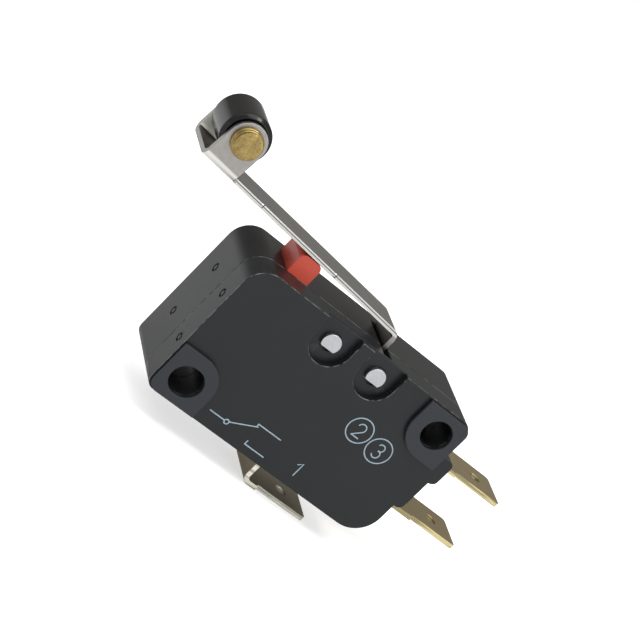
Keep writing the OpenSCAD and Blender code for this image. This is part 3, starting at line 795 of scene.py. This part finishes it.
class SWITCH_OT_lever(bpy.types.Operator):
    """Lever of stainless sheet with tumbled edges"""

    bl_idname = "switch.lever"
    bl_label = "Lever"

    def execute(self, context):
        sizes, colours = context.scene.switch_sizes, context.scene.switch_colours
        finish = worked_metal(
            "rolled_stainless_sheet", colours.steel, (0.25, 1.0, 0.3), 0.13 * MM, 0.3, 2.5e-6
        )
        self.painted_light_zones(finish, colours.cut_edge_steel_and_highlight)
        eased("roller_lever", sizes.sheet_edge, "lever_steel", finish)
        return {"FINISHED"}

    def painted_light_zones(self, finish, hue):
        """Cut edges of the strip and the foot get a lighter colour, partly the sheared steel and
        partly a painted highlight, and on the strip a painted dark line, a painted reflection,
        part way up the edge. The outside of the ears' bends, picked by the normal's Y and Z, gets
        a painted highlight, and between the ears the sheet gets a pale painted light and more
        roughness. The height above the strip's lower face is x sin(slope) + z cos(slope) less that
        face's height over the origin."""
        slope, under = math.radians(4.8), 3.245 * MM
        low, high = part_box("roller_lever")
        middle_y, half_y = (low.y + high.y) / 2, (high.y - low.y) / 2
        bracket, foot_reach, strip_reach = 3.8 * MM, 1.3 * MM, 31.0 * MM
        # painted light: pale colour for the sheet's faces between the ears
        inside_painted_light = (0.85, 0.84, 0.77, 1)
        tree = finish.node_tree
        shader = tree.nodes["Principled BSDF"]
        plain = shader.inputs["Base Color"].links[0].from_socket
        sheen = shader.inputs["Roughness"].links[0].from_socket
        source = add_node(tree, "ShaderNodeTexCoord")
        turn = add_node(
            tree,
            "ShaderNodeMapping",
            {"Rotation": (0, -slope, 0), "Location": (0, 0, -under)},
            {"Vector": source.outputs["Object"]},
        )
        turned_place = add_node(tree, "ShaderNodeSeparateXYZ", {}, {0: turn.outputs[0]})
        place = add_node(tree, "ShaderNodeSeparateXYZ", {}, {0: source.outputs["Object"]})
        facing = add_node(tree, "ShaderNodeSeparateXYZ", {}, {0: source.outputs["Normal"]})
        # 1 where the coordinate is within so much of the middle, else 0
        tests = {
            "strip": (turned_place.outputs["Z"], 0.25 * MM, 0.27 * MM),
            "line": (turned_place.outputs["Z"], 0.3 * MM, 0.05 * MM),
            "free": (turned_place.outputs["X"], 0.0, strip_reach),
            # the foot's cut edge gets the painted highlight too, where it runs into the pocket's
            # shade
            "foot": (place.outputs["X"], high.x, foot_reach),
            "between": (place.outputs["Y"], middle_y, half_y - 0.3 * MM),
            "bracket": (place.outputs["X"], low.x, bracket),
            "front": (facing.outputs["Y"], -1.0, 0.2),
            "back": (facing.outputs["Y"], 1.0, 0.2),
        }
        zone = {
            name: add_node(
                tree, "ShaderNodeMath", {"operation": "COMPARE", 1: middle, 2: half}, {0: socket}
            ).outputs[0]
            for name, (socket, middle, half) in tests.items()
        }
        for name, operation, first, second in (
            ("side", "MAXIMUM", "front", "back"),
            ("steel", "MAXIMUM", "strip", "foot"),
            ("steel side", "MULTIPLY", "steel", "side"),
            ("cut", "MULTIPLY", "steel side", "free"),
            ("channel", "MULTIPLY", "between", "bracket"),
            ("inside", "MULTIPLY", "channel", "side"),
        ):
            zone[name] = add_node(
                tree, "ShaderNodeMath", {"operation": operation}, {0: zone[first], 1: zone[second]}
            ).outputs[0]
        # painted highlight on the outside of the ears' bends, picked by the normal's direction
        outward = add_node(
            tree,
            "ShaderNodeMath",
            {"operation": "MULTIPLY"},
            {0: facing.outputs["Y"], 1: facing.outputs["Z"]},
        )
        bend_highlight_mask = add_node(
            tree,
            "ShaderNodeMapRange",
            {"From Min": 0.1, "From Max": 0.3},
            {"Value": outward.outputs[0]},
        )
        # mixes the painted bend highlight into the sheet colour
        skin = add_node(
            tree,
            "ShaderNodeMix",
            {"data_type": "RGBA", 7: (*(c * 1.35 for c in hue), 1)},
            {0: bend_highlight_mask.outputs[0], 6: plain},
        )
        # painted reflection: a dark line part way up the cut edges
        broken = add_node(
            tree,
            "ShaderNodeMix",
            {"data_type": "RGBA", 6: (*hue, 1), 7: (*(c * 0.22 for c in hue), 1)},
            {0: zone["line"]},
        )
        # cut edges of the strip and foot: sheared steel with a painted highlight
        edged = add_node(
            tree,
            "ShaderNodeMix",
            {"data_type": "RGBA"},
            {0: zone["cut"], 6: skin.outputs[2], 7: broken.outputs[2]},
        )
        # painted light between the ears
        lit_inside = add_node(
            tree,
            "ShaderNodeMix",
            {"data_type": "RGBA", 7: inside_painted_light},
            {0: zone["inside"], 6: edged.outputs[2]},
        )
        duller = add_node(
            tree,
            "ShaderNodeMath",
            {"operation": "MULTIPLY_ADD", 1: 0.3},
            {0: zone["inside"], 2: sheen},
        )
        tree.links.new(lit_inside.outputs[2], shader.inputs["Base Color"])
        tree.links.new(duller.outputs[0], shader.inputs["Roughness"])


class SWITCH_OT_roller(bpy.types.Operator):
    """Roller with coned rims, on a ringed brass axle"""

    bl_idname = "switch.roller"
    bl_label = "Roller and axle"

    def execute(self, context):
        sizes, colours = context.scene.switch_sizes, context.scene.switch_colours
        low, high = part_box("roller")
        centre = Vector(((low.x + high.x) / 2, 0, (low.z + high.z) / 2))
        self.make_roller(sizes, colours, low.y, high.y, (high.z - low.z) / 2, centre)
        self.make_axle(sizes, colours, centre)
        return {"FINISHED"}

    def make_roller(self, sizes, colours, near, far, radius, centre):
        """Closed ring: bore, chamfered mouth, dished end face, coned rim with eased corners,
        and tread, then the same back to the bore on the far side."""
        bore, chamfer, hub = 1.05 * MM, 0.1 * MM, 1.5 * MM
        lip, dished = radius - sizes.rim_radius, near + sizes.dish_depth
        half = [
            [(near + chamfer, bore), (near, bore + chamfer), (near, hub - 0.03 * MM)],
            fillet((near, hub), (dished, hub + 0.05 * MM), (dished, hub + 0.15 * MM), 4),
            [(dished, lip - 0.3 * MM)],
            fillet((dished, lip - 0.2 * MM), (near, lip - 0.12 * MM), (near, lip - 0.06 * MM), 4),
            fillet((near, lip - 0.03 * MM), (near, lip), (near + 0.02 * MM, lip + 0.03 * MM), 4),
            fillet(
                (near + 0.2 * MM, radius - 0.07 * MM),
                (near + 0.25 * MM, radius),
                (near + 0.34 * MM, radius),
                6,
            ),
            [(near + 0.5 * MM, radius)],
        ]
        half = np.concatenate([np.asarray(part, float).reshape(-1, 2) for part in half])
        back = half[::-1].copy()
        back[:, 0] = near + far - back[:, 0]
        points, faces = turned(np.concatenate([half, back]), centre, 128)
        finish = worked_acetal(
            "turned_black_acetal", colours.roller, (0.5, 0.05, 0.5), 0.1, 0.32
        )
        stand_in(build_mesh("roller_finished", points, faces, finish), "roller_black", "roller")

    def make_axle(self, sizes, colours, centre):
        """Solid of revolution: slightly domed near face, three rounded rings with grooves
        between them, shaft, and the riveted head with a rounded rim."""
        low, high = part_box("roller_axle")
        near, far, head = low.y, high.y, (high.z - low.z) / 2
        shaft, ring, skin = 1.0 * MM, 0.3 * MM, 0.01 * MM
        # each ring's radius as a share of the head's, and the next one's
        shares = ((0.88, 0.95), (0.95, 1.0), (1.0, 1.0))
        first = head * shares[0][0]
        profile = [
            [(near, 0.0), (near, head * 0.3), (near + 0.012 * MM, head * 0.6)],
            fillet(
                (near + 0.025 * MM, head * 0.8),
                (near + 0.03 * MM, first),
                (near + 0.09 * MM, first),
                6,
            ),
        ]
        for i, (wide, after) in enumerate(shares):
            start = near + i * ring
            profile.append([(start + ring * 0.6, head * wide)])
            profile.append(
                fillet(
                    (start + ring * 0.68, head * wide - skin),
                    (start + ring * 0.85, head * wide - 2 * sizes.ring_groove),
                    (start + ring, head * after - skin),
                    7,
                )
            )
        back = max(far - 0.45 * MM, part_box("roller_lever")[1].y)
        profile += [
            [(near + len(shares) * ring, shaft), (back, shaft)],
            [(back, head - 0.05 * MM), (back + 0.04 * MM, head)],
            fillet((far - 0.22 * MM, head), (far, head * 0.99), (far, head * 0.7), 8),
            [(far, head * 0.3), (far, 0.0)],
        ]
        outline = np.concatenate([np.asarray(part, float).reshape(-1, 2) for part in profile])
        points, faces = turned(outline, centre, 96)
        finish = worked_metal(
            "turned_brass",
            colours.brass,
            (1.0, 0.25, 1.0),
            0.2 * MM,
            0.3,
            8e-6,
            stain=0.5 * MM,
            darkest=0.5,
        )
        stand_in(
            build_mesh("roller_axle_finished", points, faces, finish), "axle_brass", "roller_axle"
        )


class SWITCH_OT_pins(bpy.types.Operator):
    """The lever's pivot pin and the spare one beside it"""

    bl_idname = "switch.pins"
    bl_label = "Pivot pins"

    def execute(self, context):
        sizes, colours = context.scene.switch_sizes, context.scene.switch_colours
        finish = worked_metal(
            "bright_drawn_steel", colours.pins, (1.0, 0.2, 1.0), 0.2 * MM, 0.36, 2e-6
        )
        eased("pivot_pins", sizes.pin_edge, "pin_steel", finish)
        return {"FINISHED"}


class SWITCH_OT_terminals(bpy.types.Operator):
    """The three terminals of plated brass strip"""

    bl_idname = "switch.terminals"
    bl_label = "Terminals"

    def execute(self, context):
        sizes, colours = context.scene.switch_sizes, context.scene.switch_colours
        brass = plated_brass_strip("plated_brass_strip", colours.plating, colours.sheared)
        tin = plated_brass_strip("tinned_brass_strip", colours.tinned_face, colours.tinned)
        eased("common_terminal", sizes.sheet_edge, "blade_metal", tin)
        eased("upper_terminal", sizes.sheet_edge, "blade_metal", brass)
        eased("lower_terminal", sizes.sheet_edge, "blade_metal", brass)
        return {"FINISHED"}


class SWITCH_OT_contacts(bpy.types.Operator):
    """Fixed and moving contacts of silver, and the bronze arm between them"""

    bl_idname = "switch.contacts"
    bl_label = "Contacts and arm"

    def execute(self, context):
        sizes, colours = context.scene.switch_sizes, context.scene.switch_colours
        silver = worked_metal(
            "headed_silver", colours.silver, (1.0, 1.0, 1.0), 0.12 * MM, 0.28, 2e-6
        )
        bronze = worked_metal(
            "rolled_beryllium_bronze", colours.bronze, (0.05, 1.0, 1.0), 0.08 * MM, 0.3, 1.5e-6
        )
        for node in ("upper_contact", "lower_contact", "moving_contact"):
            eased(node, 0, "contact_silver", silver)
        eased("contact_arm", sizes.small_edge, "arm_bronze", bronze)
        return {"FINISHED"}


class SWITCH_OT_springs(bpy.types.Operator):
    """Return spring and tension spring of drawn wire"""

    bl_idname = "switch.springs"
    bl_label = "Springs"

    def execute(self, context):
        colours = context.scene.switch_colours
        finish = worked_metal(
            "drawn_spring_wire", colours.wire, (1.0, 1.0, 1.0), 0.06 * MM, 0.32, 1e-6
        )
        for node in ("return_spring", "tension_spring"):
            eased(node, 0, "spring_wire", finish)
        return {"FINISHED"}


# ---------------------------------------------------------------- stage and camera


class SWITCH_OT_stage(bpy.types.Operator):
    """Pale floor, soft lights, pale surroundings and the camera"""

    bl_idname = "switch.stage"
    bl_label = "Stage and camera"

    def execute(self, context):
        low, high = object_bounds()
        middle = (low + high) / 2
        self.floor(context, low.z)
        self.flag(context, middle)
        self.surroundings(context)
        # place from the switch's middle and side in metres, and power in watts
        for name, offset, side, power in (
            ("top_box", (-0.12, -0.22, 0.6), 0.55, 2.4),
            ("spark_box", (0.12, -0.36, 0.5), 0.12, 0.6),
            ("front_box", (0.35, -0.62, 0.12), 0.5, 1.6),
            ("side_box", (-0.5, -0.12, 0.42), 0.25, 0.6),
        ):
            self.soft_box(context, name, middle, Vector(offset), side, power)
        self.camera(context)
        context.scene.view_settings.view_transform = "Standard"
        return {"FINISHED"}

    def floor(self, context, height):
        """Flat square under the switch. Camera, glossy and transmission rays see some glow
        added to its own shade, the camera the most, so it is pale and keeps the shadow."""
        reach, count = 6, 13
        side = np.linspace(-reach, reach, count)
        x, y = np.meshgrid(side, side)
        points = np.stack([x, y, np.full_like(x, height)], -1).reshape(-1, 3)
        cells = np.arange(count - 1)
        i, j = np.meshgrid(cells, cells, indexing="ij")
        corner = (i * count + j).ravel()
        quads = np.stack([corner, corner + 1, corner + count + 1, corner + count], -1)
        mesh = bpy.data.meshes.new("floor")
        mesh.from_pydata(points, [], quads.tolist())
        material, tree, shader = new_material(
            "studio_floor", Roughness=1.0, Specular_IOR_Level=0.0
        )[:3]
        shader.inputs["Base Color"].default_value = (*linear("#f0f0f0"), 1)
        level = self.level_seen(tree, 0.0, 0.2, 0.6)
        glow = add_node(tree, "ShaderNodeEmission", {}, {"Strength": level})
        both = add_node(
            tree, "ShaderNodeAddShader", {}, {0: shader.outputs[0], 1: glow.outputs[0]}
        )
        tree.links.new(both.outputs[0], tree.nodes["Material Output"].inputs["Surface"])
        mesh.materials.append(material)
        piece = bpy.data.objects.new("floor", mesh)
        context.scene.collection.objects.link(piece)
        piece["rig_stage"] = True

    def flag(self, context, middle):
        """Grey card high behind the switch, seen only in reflections, which gives the metal
        and the gloss something darker than the pale room."""
        corners = [(-1.1, 0.7, 0.03), (1.1, 0.7, 0.03), (1.1, 0.35, 0.85), (-1.1, 0.35, 0.85)]
        mesh = bpy.data.meshes.new("grey_flag")
        mesh.from_pydata(np.array(corners) + middle, [], [(0, 1, 2, 3)])
        material, tree = new_material("grey_flag")[:2]
        shade = add_node(tree, "ShaderNodeEmission", {"Color": (*linear("#9b9996"), 1)})
        tree.links.new(shade.outputs[0], tree.nodes["Material Output"].inputs["Surface"])
        mesh.materials.append(material)
        piece = bpy.data.objects.new("grey_flag", mesh)
        context.scene.collection.objects.link(piece)
        piece.visible_camera = False
        piece.visible_diffuse = False
        piece.visible_shadow = False
        piece.visible_transmission = False
        piece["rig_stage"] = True

    def surroundings(self, context):
        """Even pale room: grey as a light, paler in reflections, white to the camera."""
        world = bpy.data.worlds.new("studio")
        world.use_nodes = True
        tree = world.node_tree
        context.scene.world = world
        back = tree.nodes["Background"]
        tree.links.new(self.level_seen(tree, 0.42, 0.8, 1.0), back.inputs["Strength"])
        back.inputs["Color"].default_value = (1, 1, 1, 1)

    def level_seen(self, tree, lighting, reflected, direct):
        """The level by kind of ray: direct for camera rays, reflected for glossy and
        transmission rays, and lighting for all others."""
        path = add_node(tree, "ShaderNodeLightPath")
        pair = add_node(
            tree,
            "ShaderNodeMath",
            {"operation": "MAXIMUM"},
            {0: path.outputs["Is Camera Ray"], 1: path.outputs["Is Glossy Ray"]},
        )
        seen = add_node(
            tree,
            "ShaderNodeMath",
            {"operation": "MAXIMUM"},
            {0: pair.outputs[0], 1: path.outputs["Is Transmission Ray"]},
        )
        mirrored = add_node(
            tree,
            "ShaderNodeMath",
            {"operation": "MULTIPLY_ADD", 1: reflected - lighting, 2: lighting},
            {0: seen.outputs[0]},
        )
        return add_node(
            tree,
            "ShaderNodeMath",
            {"operation": "MULTIPLY_ADD", 1: direct - reflected},
            {0: path.outputs["Is Camera Ray"], 2: mirrored.outputs[0]},
        ).outputs[0]

    def soft_box(self, context, name, middle, offset, side, power):
        """Square lamp at an offset from the middle, aimed at it."""
        lamp = bpy.data.lights.new(name, "AREA")
        lamp.size = side
        lamp.energy = power
        box = bpy.data.objects.new(name, lamp)
        box.location = middle + offset
        box.rotation_euler = (-offset).to_track_quat("-Z", "Y").to_euler()
        context.scene.collection.objects.link(box)

    def camera(self, context):
        """Long lens from the front left, above the switch, turned about its own axis."""
        place = Vector((-102.42, -167.45, 49.79)) * MM
        aim = Vector((-14.51, 5.20, 0.46)) * MM
        roll = math.radians(45.08)
        lens = bpy.data.cameras.new("camera")
        lens.sensor_width = 36
        lens.lens = 122.17
        lens.clip_start = 0.01
        view = (aim - place).to_track_quat("-Z", "Y") @ Quaternion((0, 0, 1), roll)
        camera = bpy.data.objects.new("camera", lens)
        camera.matrix_world = Matrix.Translation(place) @ view.to_matrix().to_4x4()
        context.scene.collection.objects.link(camera)
        context.scene.camera = camera


# ---------------------------------------------------------------- panel and registration

STEPS = (
    SWITCH_OT_housing,
    SWITCH_OT_print,
    SWITCH_OT_plunger,
    SWITCH_OT_lever,
    SWITCH_OT_roller,
    SWITCH_OT_pins,
    SWITCH_OT_terminals,
    SWITCH_OT_contacts,
    SWITCH_OT_springs,
    SWITCH_OT_stage,
)


class SWITCH_PT_pieces(bpy.types.Panel):
    """Lists the pieces, sizes and colours of the switch"""

    bl_idname = "SWITCH_PT_pieces"
    bl_label = "Lever micro switch"
    bl_space_type = "VIEW_3D"
    bl_region_type = "UI"
    bl_category = "Switch"

    def draw(self, context):
        for step in STEPS:
            self.layout.operator(step.bl_idname)
        for group in (context.scene.switch_sizes, context.scene.switch_colours):
            box = self.layout.box()
            for name in group.__annotations__:
                box.prop(group, name)


CLASSES = (SwitchSizes, SwitchColours, *STEPS, SWITCH_PT_pieces)


def register():
    for item in CLASSES:
        bpy.utils.register_class(item)
    bpy.types.Scene.switch_sizes = bpy.props.PointerProperty(type=SwitchSizes)
    bpy.types.Scene.switch_colours = bpy.props.PointerProperty(type=SwitchColours)


def unregister():
    del bpy.types.Scene.switch_colours
    del bpy.types.Scene.switch_sizes
    for item in reversed(CLASSES):
        bpy.utils.unregister_class(item)


def main():
    register()
    for step in STEPS:
        group, name = step.bl_idname.split(".")
        getattr(getattr(bpy.ops, group), name)()


if __name__ == "__main__":
    main()
